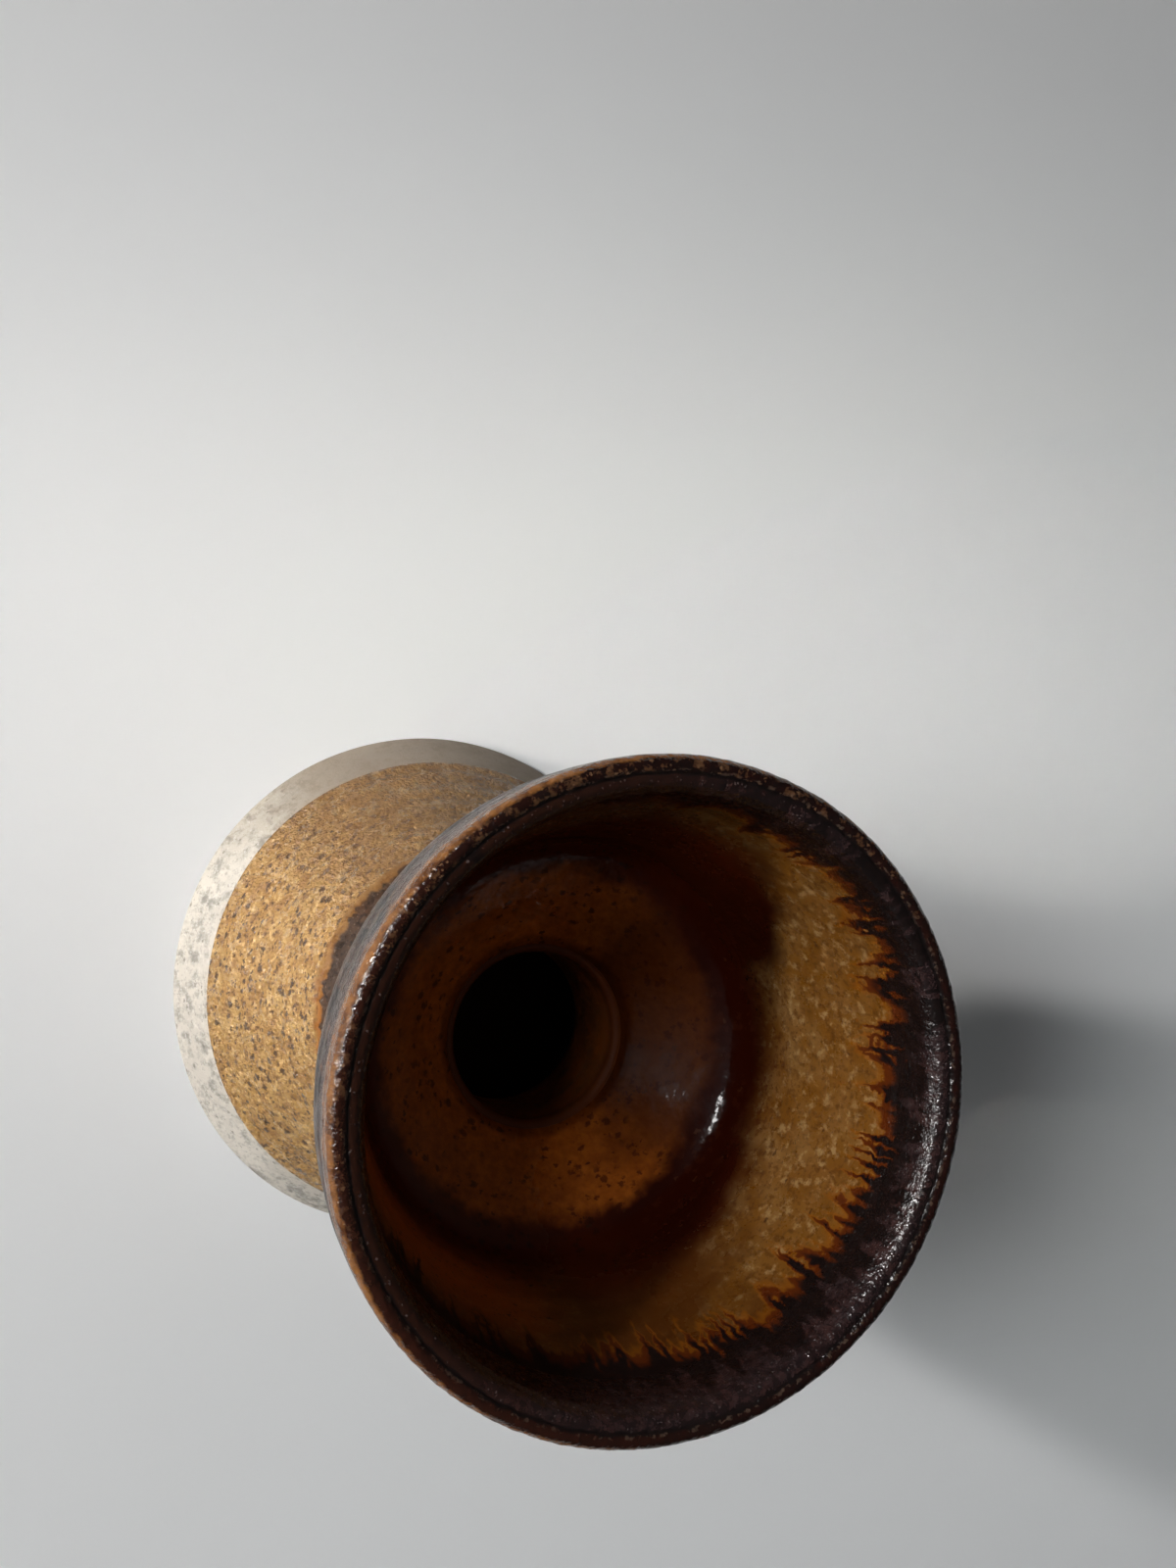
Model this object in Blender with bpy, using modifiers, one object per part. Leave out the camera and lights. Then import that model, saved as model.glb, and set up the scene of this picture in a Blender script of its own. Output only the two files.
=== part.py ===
"""Hourglass vase: two thrown stoneware forms joined at the waist, under their coats of glaze.

Run with blender --background --python part.py, or from the text editor.
Units are metres, +Z is up and the origin is the centre of the foot's underside.
Every piece is a profile of (radius, height) points turned about the Z axis.
"""
import math

import bpy

MM = 0.001

# Outside of the lower body, from the table up
FOOT_RADIUS = 66.0 * MM
FOOT_EDGE_ROUND = 1.6 * MM
FOOT_BAND_HEIGHT = 13.4 * MM
FOOT_BAND_TOP_RADIUS = 58.2 * MM
FOOT_BAND_ROUND = 60.0 * MM
CONE_HEIGHT = 52.6 * MM
CONE_TOP_ROUND = 24.0 * MM
NECK_RADIUS = 26.6 * MM
LOWER_NECK_HEIGHT = 11.0 * MM

# Inside of the lower body and its foot
BASE_RECESS_DEPTH = 2.0 * MM
FOOT_RING_WIDTH = 13.0 * MM
BASE_THICKNESS = 7.0 * MM
CONE_WALL = 6.6 * MM
CHAMBER_CORNER_ROUND = 8.0 * MM
NECK_WALL = 7.8 * MM
SPIGOT_WALL = 3.2 * MM

# Outside of the upper bowl, from the joint up
UPPER_NECK_HEIGHT = 8.0 * MM
NECK_TOP_ROUND = 9.0 * MM
BELLY_RISE = 13.6 * MM
BELLY_RADIUS = 46.6 * MM
BELLY_ROUND = 14.0 * MM
BOWL_WALL_RISE = 43.0 * MM
COLLAR_FLARE = 1.1 * MM
COLLAR_ROUND = 60.0 * MM
COLLAR_HEIGHT = 16.6 * MM
MOUTH_RADIUS = 59.3 * MM

# Inside of the upper bowl and its lip
LIP_ROUND = 2.2 * MM
LIP_WIDTH = 5.0 * MM
LIP_BEVEL_DROP = 2.2 * MM
BOWL_WALL = 5.0 * MM
BOWL_CORNER_ROUND = 9.0 * MM
BOWL_FLOOR_THICKNESS = 7.0 * MM

# Joint between the two forms
SLIP_THICKNESS = 0.6 * MM
FIT_GAP = 0.2 * MM
COIL_DEPTH = 1.8 * MM
COIL_HEIGHT = 4.4 * MM

# Glaze coats
GLAZE_THICKNESS = 0.6 * MM
GLAZE_EDGE_GAP = 0.3 * MM
DARK_GLAZE_DROP = 31.0 * MM
RIM_GLAZE_OUTSIDE = 9.0 * MM
RIM_GLAZE_INSIDE = 12.0 * MM

# Mesh fineness
TURN_STEPS = 36
ARC_STEP = math.radians(22.0)
MERGE_DISTANCE = 0.01 * MM

# Heights and widths that follow from the dimensions above
JOINT_CLEARANCE = SLIP_THICKNESS + 2.0 * FIT_GAP
CONE_TOP_HEIGHT = FOOT_BAND_HEIGHT + CONE_HEIGHT
SEAT_HEIGHT = CONE_TOP_HEIGHT + LOWER_NECK_HEIGHT
BOWL_BASE_HEIGHT = SEAT_HEIGHT + JOINT_CLEARANCE
NECK_TOP_HEIGHT = BOWL_BASE_HEIGHT + UPPER_NECK_HEIGHT
BELLY_HEIGHT = NECK_TOP_HEIGHT + BELLY_RISE
COLLAR_BASE_HEIGHT = BELLY_HEIGHT + BOWL_WALL_RISE
CREST_HEIGHT = COLLAR_BASE_HEIGHT + COLLAR_HEIGHT
THROAT_RADIUS = NECK_RADIUS - NECK_WALL
SPIGOT_RADIUS = THROAT_RADIUS + SPIGOT_WALL
SOCKET_RADIUS = SPIGOT_RADIUS + JOINT_CLEARANCE
COLLAR_RADIUS = MOUTH_RADIUS - COLLAR_FLARE
COAT_REACH = FIT_GAP + GLAZE_THICKNESS


def unit(start, end):
    """Direction from one point to another."""
    length = math.dist(start, end)
    return ((end[0] - start[0]) / length, (end[1] - start[1]) / length)


def line_at(start, end, radius=None, height=None):
    """Point of the line through two points that has the given radius or height."""
    if radius is not None:
        share = (radius - start[0]) / (end[0] - start[0])
        return (radius, start[1] + share * (end[1] - start[1]))
    share = (height - start[1]) / (end[1] - start[1])
    return (start[0] + share * (end[0] - start[0]), height)


def crossing(start, end, other_start, other_end):
    """Point where two lines meet, each given by two of its points."""
    run = unit(start, end)
    other = unit(other_start, other_end)
    turn = run[0] * other[1] - run[1] * other[0]
    gap = (other_start[0] - start[0], other_start[1] - start[1])
    along = (gap[0] * other[1] - gap[1] * other[0]) / turn
    return (start[0] + along * run[0], start[1] + along * run[1])


def moved(start, end, distance):
    """A line moved to its right-hand side, as two points."""
    run = unit(start, end)
    step = (run[1] * distance, -run[0] * distance)
    return (start[0] + step[0], start[1] + step[1]), (end[0] + step[0], end[1] + step[1])


def without_repeats(outline):
    """Outline with each point that repeats the one before it left out."""
    kept = outline[:1]
    for point in outline[1:]:
        if math.dist(point, kept[-1]) > MERGE_DISTANCE:
            kept.append(point)
    return kept


def rounded(corners):
    """Open outline through (point, round) corners, with an arc at each rounded corner.

    A side between two corners is shared by their arcs, and an end side is left to its one arc.
    """
    points = [corners[0][0]]
    last_corner = len(corners) - 2
    for index in range(1, last_corner + 1):
        corner, wanted = corners[index]
        before = corners[index - 1][0]
        after = corners[index + 1][0]
        back = unit(corner, before)
        ahead = unit(corner, after)
        half = 0.5 * math.acos(max(-1.0, min(1.0, back[0] * ahead[0] + back[1] * ahead[1])))
        room_back = math.dist(corner, before) * (1.0 if index == 1 else 0.5)
        room_ahead = math.dist(corner, after) * (1.0 if index == last_corner else 0.5)
        setback = min(wanted / math.tan(half), room_back, room_ahead)
        if setback < MERGE_DISTANCE:
            points.append(corner)
            continue
        radius = setback * math.tan(half)
        reach = radius / math.sin(half)
        middle = unit((0.0, 0.0), (back[0] + ahead[0], back[1] + ahead[1]))
        centre = (corner[0] + middle[0] * reach, corner[1] + middle[1] * reach)
        ends = [(corner[0] + run[0] * setback, corner[1] + run[1] * setback) for run in (back, ahead)]
        first, last = (math.atan2(end[1] - centre[1], end[0] - centre[0]) for end in ends)
        sweep = math.remainder(last - first, 2.0 * math.pi)
        steps = max(2, math.ceil(abs(sweep) / ARC_STEP))
        for step in range(steps + 1):
            angle = first + sweep * step / steps
            points.append((centre[0] + radius * math.cos(angle), centre[1] + radius * math.sin(angle)))
    points.append(corners[-1][0])
    return without_repeats(points)


def offset(outline, distance):
    """Outline moved to the right-hand side of its direction, with mitred corners."""
    result = []
    for index, point in enumerate(outline):
        runs = []
        if index > 0:
            runs.append(unit(outline[index - 1], point))
        if index < len(outline) - 1:
            runs.append(unit(point, outline[index + 1]))
        normals = [(run[1], -run[0]) for run in runs]
        mean = unit((0.0, 0.0), (sum(n[0] for n in normals), sum(n[1] for n in normals)))
        reach = distance / (mean[0] * normals[0][0] + mean[1] * normals[0][1])
        result.append((point[0] + mean[0] * reach, point[1] + mean[1] * reach))
    return result


def shortened(outline, start_cut, end_cut):
    """Outline with a length taken off its start and its end."""
    for cut in (start_cut, end_cut):
        outline = list(outline)
        while cut > 0.0:
            length = math.dist(outline[0], outline[1])
            if length > cut:
                run = unit(outline[0], outline[1])
                outline[0] = (outline[0][0] + run[0] * cut, outline[0][1] + run[1] * cut)
                break
            cut -= length
            outline.pop(0)
        outline.reverse()
    return outline


def clipped(outline, low, high):
    """Stretch of an outline between two heights."""
    result = []
    for start, end in zip(outline, outline[1:]):
        if max(start[1], end[1]) < low or min(start[1], end[1]) > high:
            continue
        for point in (start, end):
            height = max(low, min(high, point[1]))
            result.append(point if height == point[1] else line_at(start, end, height=height))
    return without_repeats(result)


def coat(outline):
    """Closed outline of a glaze coat that lies on the right-hand side of a clay outline."""
    trimmed = shortened(outline, 0.5 * GLAZE_EDGE_GAP, 0.5 * GLAZE_EDGE_GAP)
    return offset(trimmed, COAT_REACH) + offset(trimmed, FIT_GAP)[::-1]


def cone_line():
    """Straight side of the lower body, bottom to top, before its corners are rounded."""
    return (FOOT_BAND_TOP_RADIUS, FOOT_BAND_HEIGHT), (NECK_RADIUS, CONE_TOP_HEIGHT)


def lower_outside():
    """Outside of the lower body from the neck's seat down to the foot's edge."""
    cone_bottom, cone_top = cone_line()
    return rounded([
        ((NECK_RADIUS, SEAT_HEIGHT), 0.0),
        (cone_top, CONE_TOP_ROUND),
        (cone_bottom, FOOT_BAND_ROUND),
        ((FOOT_RADIUS, 0.0), FOOT_EDGE_ROUND),
        ((FOOT_RADIUS - FOOT_RING_WIDTH, 0.0), 0.0),
    ])


def bowl_floor_line():
    """Sloping floor inside the bowl, as a line parallel to the bowl's underside."""
    return moved((BELLY_RADIUS, BELLY_HEIGHT), (NECK_RADIUS, NECK_TOP_HEIGHT), BOWL_FLOOR_THICKNESS)


def chamber_outline():
    """Inside of the lower body, from the bowl's floor down to the middle of the base."""
    floor_height = BASE_RECESS_DEPTH + BASE_THICKNESS
    cone_bottom, cone_top = cone_line()
    inner_top, inner_bottom = moved(cone_top, cone_bottom, CONE_WALL)
    return rounded([
        (line_at(*bowl_floor_line(), radius=THROAT_RADIUS), 0.0),
        (line_at(inner_top, inner_bottom, radius=THROAT_RADIUS), CONE_WALL),
        (line_at(inner_top, inner_bottom, height=floor_height), CHAMBER_CORNER_ROUND),
        ((0.0, floor_height), 0.0),
    ])


def bowl_outside():
    """Outside of the bowl from the crest of the lip down to the joint."""
    return rounded([
        ((MOUTH_RADIUS - LIP_ROUND, CREST_HEIGHT), 0.0),
        ((MOUTH_RADIUS, CREST_HEIGHT), LIP_ROUND),
        ((COLLAR_RADIUS, COLLAR_BASE_HEIGHT), COLLAR_ROUND),
        ((BELLY_RADIUS, BELLY_HEIGHT), BELLY_ROUND),
        ((NECK_RADIUS, NECK_TOP_HEIGHT), NECK_TOP_ROUND),
        ((NECK_RADIUS, BOWL_BASE_HEIGHT), 0.0),
    ])


def bowl_inside():
    """Inside of the bowl from the edge of its socket up to the crest of the lip."""
    collar = (COLLAR_RADIUS, COLLAR_BASE_HEIGHT)
    wall_bottom, wall_top = moved(collar, (BELLY_RADIUS, BELLY_HEIGHT), BOWL_WALL)[::-1]
    floor_line = bowl_floor_line()
    lip_inside = (MOUTH_RADIUS - LIP_WIDTH, CREST_HEIGHT - LIP_BEVEL_DROP)
    return rounded([
        (line_at(*floor_line, radius=SOCKET_RADIUS), 0.0),
        (crossing(*floor_line, wall_bottom, wall_top), BOWL_CORNER_ROUND),
        (wall_top, COLLAR_ROUND),
        (lip_inside, 0.5 * LIP_BEVEL_DROP),
        ((MOUTH_RADIUS - LIP_ROUND, CREST_HEIGHT), 0.0),
    ])


def coil_notch(height, side):
    """Half of the waist coil's notch, above (side 1) or below (side -1) one face of the joint."""
    return [(NECK_RADIUS - COIL_DEPTH, height), (NECK_RADIUS, height + side * 0.5 * COIL_HEIGHT)]


def lower_body_profile():
    """Chamber, spigot, seat, outside and recessed base of the lower body."""
    spigot = [line_at(*bowl_floor_line(), radius=SPIGOT_RADIUS), (SPIGOT_RADIUS, SEAT_HEIGHT)]
    outside = coil_notch(SEAT_HEIGHT, -1.0) + lower_outside()[1:]
    recess_radius = FOOT_RADIUS - FOOT_RING_WIDTH - BASE_RECESS_DEPTH
    recess = [(recess_radius, BASE_RECESS_DEPTH), (0.0, BASE_RECESS_DEPTH)]
    return chamber_outline()[::-1] + spigot + outside + recess


def upper_bowl_profile():
    """Socket, inside, lip and outside of the bowl."""
    notch = coil_notch(BOWL_BASE_HEIGHT, 1.0)[::-1]
    return bowl_inside() + bowl_outside()[1:-1] + notch + [(SOCKET_RADIUS, BOWL_BASE_HEIGHT)]


def joint_slip_profile():
    """Film of slip on the seat and up the side of the spigot."""
    inner = SPIGOT_RADIUS + FIT_GAP
    outer = inner + SLIP_THICKNESS
    low = SEAT_HEIGHT + FIT_GAP
    floor_line = bowl_floor_line()
    return [
        line_at(*floor_line, radius=inner),
        line_at(*floor_line, radius=outer),
        (outer, low + SLIP_THICKNESS),
        (NECK_RADIUS - COIL_DEPTH - FIT_GAP, low + SLIP_THICKNESS),
        (NECK_RADIUS - COIL_DEPTH - FIT_GAP, low),
        (inner, low),
    ]


def waist_coil_profile():
    """Thin coil of soft clay pressed into the notch around the joint."""
    middle = 0.5 * (SEAT_HEIGHT + BOWL_BASE_HEIGHT)
    half_back = 0.5 * JOINT_CLEARANCE
    half_face = half_back + 0.5 * COIL_HEIGHT - FIT_GAP
    back = NECK_RADIUS - COIL_DEPTH + FIT_GAP
    return [
        (NECK_RADIUS, middle + half_face),
        (NECK_RADIUS, middle - half_face),
        (back, middle - half_back),
        (back, middle + half_back),
    ]


def outer_outline():
    """Whole outside from the edge of the foot up to the crest of the lip."""
    return without_repeats(lower_outside()[::-1] + bowl_outside()[::-1])


def cone_glaze_profile():
    """Speckled glaze on the lower body, from the dark glaze down to the bare foot."""
    return coat(clipped(outer_outline(), FOOT_BAND_HEIGHT, SEAT_HEIGHT - DARK_GLAZE_DROP))


def dark_glaze_profile():
    """Dark glaze over the outside of the bowl and the waist."""
    return coat(clipped(outer_outline(), SEAT_HEIGHT - DARK_GLAZE_DROP, CREST_HEIGHT - RIM_GLAZE_OUTSIDE))


def rim_glaze_profile():
    """Dark glaze doubled over the lip."""
    outside = clipped(outer_outline(), CREST_HEIGHT - RIM_GLAZE_OUTSIDE, CREST_HEIGHT)
    inside = clipped(bowl_inside()[::-1], CREST_HEIGHT - RIM_GLAZE_INSIDE, CREST_HEIGHT)
    return coat(without_repeats(outside + inside))


def bowl_glaze_profile():
    """Honey glaze lining the bowl, from the joint seam up to the rim glaze."""
    return coat(clipped(bowl_inside()[::-1], 0.0, CREST_HEIGHT - RIM_GLAZE_INSIDE))


def chamber_glaze_profile():
    """Thin liner glaze down the throat and over the inside of the lower body."""
    inside = chamber_outline()
    seam = line_at(*bowl_floor_line(), radius=SPIGOT_RADIUS)
    lining = shortened([seam] + inside, 0.5 * GLAZE_EDGE_GAP, 0.0)
    skin = offset(lining, COAT_REACH)
    back = offset(lining, FIT_GAP)
    return skin + back[::-1]


def glazed_clay(name, color, roughness):
    """Principled material for one piece."""
    material = bpy.data.materials.new(name)
    material.use_nodes = True
    shader = material.node_tree.nodes["Principled BSDF"]
    shader.inputs["Base Color"].default_value = (*color, 1.0)
    shader.inputs["Roughness"].default_value = roughness
    shader.inputs["Metallic"].default_value = 0.0
    material.diffuse_color = (*color, 1.0)
    return material


def facing_out(profile):
    """Profile in the direction that runs down its outer side."""
    area = sum(a[0] * b[1] - b[0] * a[1] for a, b in zip(profile, profile[1:] + profile[:1]))
    return profile[::-1] if area > 0.0 else profile


def turned(name, profile, base_height, material, collection, parent):
    """Object turned from a profile, with its origin on the axis at the given height."""
    profile = facing_out(profile)
    on_axis = profile[0][0] == 0.0 or profile[-1][0] == 0.0
    vertices = [(radius, 0.0, height - base_height) for radius, height in profile]
    edges = [(index, index + 1) for index in range(len(profile) - 1)]
    if not on_axis:
        edges.append((len(profile) - 1, 0))
    mesh = bpy.data.meshes.new(name)
    mesh.from_pydata(vertices, edges, [])
    mesh.materials.append(material)
    piece = bpy.data.objects.new(name, mesh)
    piece.location = (0.0, 0.0, base_height)
    piece.parent = parent
    collection.objects.link(piece)
    screw = piece.modifiers.new("Turn", "SCREW")
    screw.axis = "Z"
    screw.angle = 2.0 * math.pi
    screw.steps = TURN_STEPS
    screw.render_steps = TURN_STEPS
    screw.use_merge_vertices = True
    screw.merge_threshold = MERGE_DISTANCE
    screw.use_smooth_shade = True
    return piece


def main():
    for old in list(bpy.data.objects):
        bpy.data.objects.remove(old, do_unlink=True)
    collection = bpy.data.collections.new("Hourglass vase")
    bpy.context.scene.collection.children.link(collection)
    axis = bpy.data.objects.new("vase_axis", None)
    axis.empty_display_size = FOOT_RADIUS
    collection.objects.link(axis)

    bare_clay = (0.62, 0.58, 0.50)
    body_clay = (0.42, 0.37, 0.31)
    pieces = [
        ("lower_body", lower_body_profile(), 0.0, bare_clay, 0.85),
        ("upper_bowl", upper_bowl_profile(), BOWL_BASE_HEIGHT, body_clay, 0.85),
        ("joint_slip", joint_slip_profile(), SEAT_HEIGHT, (0.36, 0.30, 0.24), 0.9),
        ("waist_coil", waist_coil_profile(), SEAT_HEIGHT, body_clay, 0.9),
        ("cone_glaze", cone_glaze_profile(), FOOT_BAND_HEIGHT, (0.40, 0.22, 0.075), 0.35),
        ("dark_glaze", dark_glaze_profile(), SEAT_HEIGHT, (0.035, 0.018, 0.012), 0.25),
        ("rim_glaze", rim_glaze_profile(), CREST_HEIGHT, (0.06, 0.03, 0.028), 0.3),
        ("bowl_glaze", bowl_glaze_profile(), BOWL_BASE_HEIGHT, (0.33, 0.16, 0.045), 0.25),
        ("chamber_glaze", chamber_glaze_profile(), 0.0, (0.24, 0.17, 0.10), 0.5),
    ]
    for name, profile, base_height, color, roughness in pieces:
        turned(name, profile, base_height, glazed_clay(name, color, roughness), collection, axis)


main()
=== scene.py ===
"""Finished surfaces of the hourglass vase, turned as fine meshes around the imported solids.

Laid out as an add-on and run as a script. Lengths are metres, +Z is up, and the origin is under the foot.
"""
import math

import bpy
import numpy as np
from bpy.props import FloatProperty, FloatVectorProperty, IntProperty, PointerProperty
from mathutils import Matrix, Vector


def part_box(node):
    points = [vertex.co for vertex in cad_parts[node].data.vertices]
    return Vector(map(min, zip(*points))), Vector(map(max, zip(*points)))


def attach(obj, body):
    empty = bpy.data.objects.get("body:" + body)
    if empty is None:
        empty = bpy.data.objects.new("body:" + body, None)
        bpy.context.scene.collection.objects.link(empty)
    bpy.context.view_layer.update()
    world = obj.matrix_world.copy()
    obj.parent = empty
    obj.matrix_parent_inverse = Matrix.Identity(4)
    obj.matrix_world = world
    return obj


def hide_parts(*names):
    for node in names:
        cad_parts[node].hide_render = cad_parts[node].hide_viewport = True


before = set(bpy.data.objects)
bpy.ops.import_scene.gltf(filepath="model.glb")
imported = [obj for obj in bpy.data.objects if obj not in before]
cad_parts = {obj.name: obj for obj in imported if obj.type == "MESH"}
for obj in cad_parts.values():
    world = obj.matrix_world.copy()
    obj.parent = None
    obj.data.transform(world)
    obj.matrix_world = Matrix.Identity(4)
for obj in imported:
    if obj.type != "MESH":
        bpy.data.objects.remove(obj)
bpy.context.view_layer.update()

bl_info = {
    "name": "Hourglass vase",
    "version": (1, 0, 0),
    "blender": (4, 5, 0),
    "location": "View3D > Sidebar > Vase",
    "description": "Builds a thrown stoneware hourglass vase with its glazes, and a stage to show it on",
    "category": "Add Mesh",
}

MM = 0.001
BODY = "root"

# Heights that the solids set
GLAZE_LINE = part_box("cone_glaze")[0].z
DARK_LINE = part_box("dark_glaze")[0].z
RIM_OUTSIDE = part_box("dark_glaze")[1].z
RIM_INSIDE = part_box("bowl_glaze")[1].z
BOWL_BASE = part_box("upper_bowl")[0].z
COIL_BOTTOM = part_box("waist_coil")[0].z
COIL_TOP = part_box("waist_coil")[1].z

# Fits between the two clay forms
JOINT = 1.0 * MM
SEAT = BOWL_BASE - JOINT
COIL_DEPTH = 2.0 * MM
SPIGOT_WALL = 3.2 * MM

# Seams and marks of the glaze
LINING_SEAM = 1.4 * MM
EDGE_LIFT = 3.2 * MM
PEEL_SIZE = 3.0 * MM
GRIT_SIZE = 1.6 * MM
SHARP_EDGE = math.radians(50.0)
WELD = 0.001 * MM

# Camera that the picture is taken with, its lens and sensor in millimetres
EYE = (-0.1139, 0.0597, 0.4061)
LOOK = (0.3706, -0.0167, -0.9286)
LENS = 36.0
SENSOR = 36.0
NEAREST = 0.01

# Tints laid over the bare clay
CLAY_SOOT = (0.21, 0.19, 0.16)
CLAY_CHALK = (0.67, 0.63, 0.565)
CLAY_SPECK = (0.14, 0.12, 0.10)
CLAY_FINE_SPECK = (0.24, 0.21, 0.17)
# Browner kiln toast, darkened further as painted shade
CLAY_TOAST_AND_SHADE = (0.24, 0.185, 0.135)
CLAY_UNDER_EDGE = (0.10, 0.075, 0.05)

# Tints of the cone's glaze
TAN_BROWN = (0.25, 0.12, 0.034)
TAN_GOLD = (0.70, 0.44, 0.17)
TAN_UMBER = (0.12, 0.058, 0.022)
# Browner kiln toast, darkened further as painted shade
TAN_TOAST_AND_SHADE = (0.15, 0.075, 0.03)
TAN_FRINGE = (0.17, 0.075, 0.022)
TAN_ROLL = (0.20, 0.085, 0.02)

# Tints of the dark glaze
DARK_STREAK = (0.075, 0.027, 0.008)
DARK_CLOUD = (0.040, 0.020, 0.012)
DARK_WAIST = (0.075, 0.044, 0.028)
DARK_SPECK = (0.22, 0.17, 0.135)
DARK_PIT = (0.012, 0.008, 0.006)

# Tints of the bowl's floor and wall, with painted shade, painted shadow and painted bounce light among them
FLOOR_CLOUD = (0.34, 0.078, 0.007)
FLOOR_MOTTLE = (0.20, 0.044, 0.004)
FLOOR_PAINTED_SHADE = (0.034, 0.007, 0.001)
WALL_CLOUD = (0.115, 0.036, 0.004)
WALL_GRAIN = (0.075, 0.026, 0.004)
WALL_CREAM = (0.29, 0.178, 0.070)
WALL_RED_BOUNCE = (0.56, 0.125, 0.012)
WALL_PAINTED_SHADE = (0.055, 0.015, 0.002)
WALL_SPECK = (0.060, 0.020, 0.004)
POOL_LIFTED_IN_SHADE = (0.075, 0.010, 0.001)
BOWL_SPOT = (0.030, 0.006, 0.002)
BOWL_SPECK = (0.040, 0.013, 0.005)
RUN_GLOW = (0.18, 0.055, 0.004)
RUN_RED = (0.072, 0.014, 0.0024)
RUN_CLOUD = (0.013, 0.006, 0.005)

# Tints of the lip
FACE_CLOUD = (0.050, 0.018, 0.014)
FACE_MOTTLE = (0.007, 0.004, 0.004)
FACE_BROWN = (0.022, 0.007, 0.0035)
FACE_SPECK = (0.12, 0.095, 0.09)
BEAD_BROWN = (0.032, 0.009, 0.0045)
BEAD_GRIT = (0.22, 0.12, 0.06)
BEAD_RUB = (0.12, 0.055, 0.024)
CRYSTAL = (0.12, 0.08, 0.055)
SKIN_BROWN = (0.060, 0.022, 0.008)
SKIN_RUST = (0.22, 0.085, 0.018)
SKIN_DARK_RUST = (0.07, 0.022, 0.005)

# Tints of the throat's glaze and of the stage
LINER_CLOUD = (0.18, 0.06, 0.012)
LINER_SPECK = (0.05, 0.02, 0.008)
LINER_EDGE = (0.10, 0.022, 0.003)
# Painted shade deep in the chamber
LINER_PAINTED_SHADE = (0.02, 0.008, 0.002)
STAGE_CLOUD = (0.83, 0.83, 0.82)

# Sides of the vase that differ, as degrees round from +X; some carry painted shade, shadow, bounce light and
# sheen
TOAST_AND_SHADE_SIDE = 85.0
RUSTY_SIDE = 225.0
SHADED_FLOOR_SIDE = 5.0
RED_BOUNCE_SIDE = 190.0
SHADED_WALL_SIDE = 284.0
LIT_POOL_SIDE = -15.0
RIM_SHADOW_SIDE = 62.0
RIM_SHADOW_OTHER_SIDE = -66.0
LONG_DRIP_SIDE = 235.0
SHORT_DRIP_SIDE = 42.0
PURPLE_SHEEN_SIDE = -20.0
BROWN_SIDE = 200.0
WORN_SIDE = 112.0

# Tints of the lamps
WARM = (1.0, 0.99, 0.98)
GOLDEN = (1.0, 0.975, 0.91)
COOL = (0.94, 0.97, 1.0)


def length(name, description, millimetres):
    """Length property, with its default given in millimetres."""
    return FloatProperty(
        name=name, description=description, default=millimetres * MM, min=0.0, unit="LENGTH", precision=5)


def colour(name, description, red, green, blue):
    """Linear colour property."""
    return FloatVectorProperty(
        name=name, description=description, default=(red, green, blue, 1.0), size=4, min=0.0, max=1.0,
        subtype="COLOR")


class VaseSizes(bpy.types.PropertyGroup):
    """Shape of the clay and thickness of the glaze."""

    foot_ring: length("Foot ring", "Inner radius of the flat ring under the foot", 53.0)
    foot_radius: length("Foot radius", "Radius of the foot where its side meets the table", 66.0)
    recess: length("Base recess", "Depth of the hollow under the base", 2.0)
    base_floor: length("Chamber floor", "Height of the floor inside the lower body", 9.0)
    band_radius: length("Foot band radius", "Radius at the top of the bare foot band", 58.2)
    band_height: length("Foot band height", "Height of the bare foot band", 13.4)
    neck_radius: length("Neck radius", "Outer radius of the waist", 26.6)
    cone_top: length("Cone top", "Height where the cone meets the neck", 66.0)
    neck_top: length("Neck top", "Height where the neck meets the bowl", 86.0)
    belly_radius: length("Belly radius", "Outer radius at the bottom corner of the bowl", 46.6)
    belly_height: length("Belly height", "Height of the bottom corner of the bowl", 99.6)
    collar_radius: length("Collar radius", "Outer radius where the bowl's wall straightens", 58.2)
    collar_height: length("Collar height", "Height where the bowl's wall straightens", 142.6)
    mouth_radius: length("Mouth radius", "Outer radius of the lip", 59.7)
    crest_height: length("Crest height", "Height of the lip's bead", 160.2)
    inner_radius: length("Inner radius", "Inner radius under the lip", 53.1)
    corner_radius: length("Corner radius", "Inner radius where the bowl's wall meets its floor", 43.05)
    corner_height: length("Corner height", "Height where the bowl's wall meets its floor", 105.65)
    throat_radius: length("Throat radius", "Radius of the hole through the waist", 18.8)
    throat_top: length("Throat top", "Height of the bowl's floor at the throat", 89.3)
    throat_bottom: length("Throat bottom", "Height where the throat opens into the chamber", 66.6)
    chamber_radius: length("Chamber radius", "Inner radius of the chamber at its floor", 53.1)
    glaze: length("Glaze face", "Height of the glaze's face over the clay", 0.8)
    glaze_back: length("Glaze gap", "Gap between the clay and the back of the glaze", 0.2)
    wobble: length("Wobble", "How far the walls wander from round", 0.3)
    ring_pitch: length("Throwing rings", "Rise of the fingers' spiral in one turn", 6.5)
    segments: IntProperty(
        name="Segments", description="Faces round the outer glazes and the lining", default=480, min=24)
    rim_segments: IntProperty(name="Rim segments", description="Faces round the lip", default=720, min=24)
    clay_segments: IntProperty(
        name="Clay segments", description="Faces round the clay and the throat's glaze", default=288, min=24)


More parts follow.
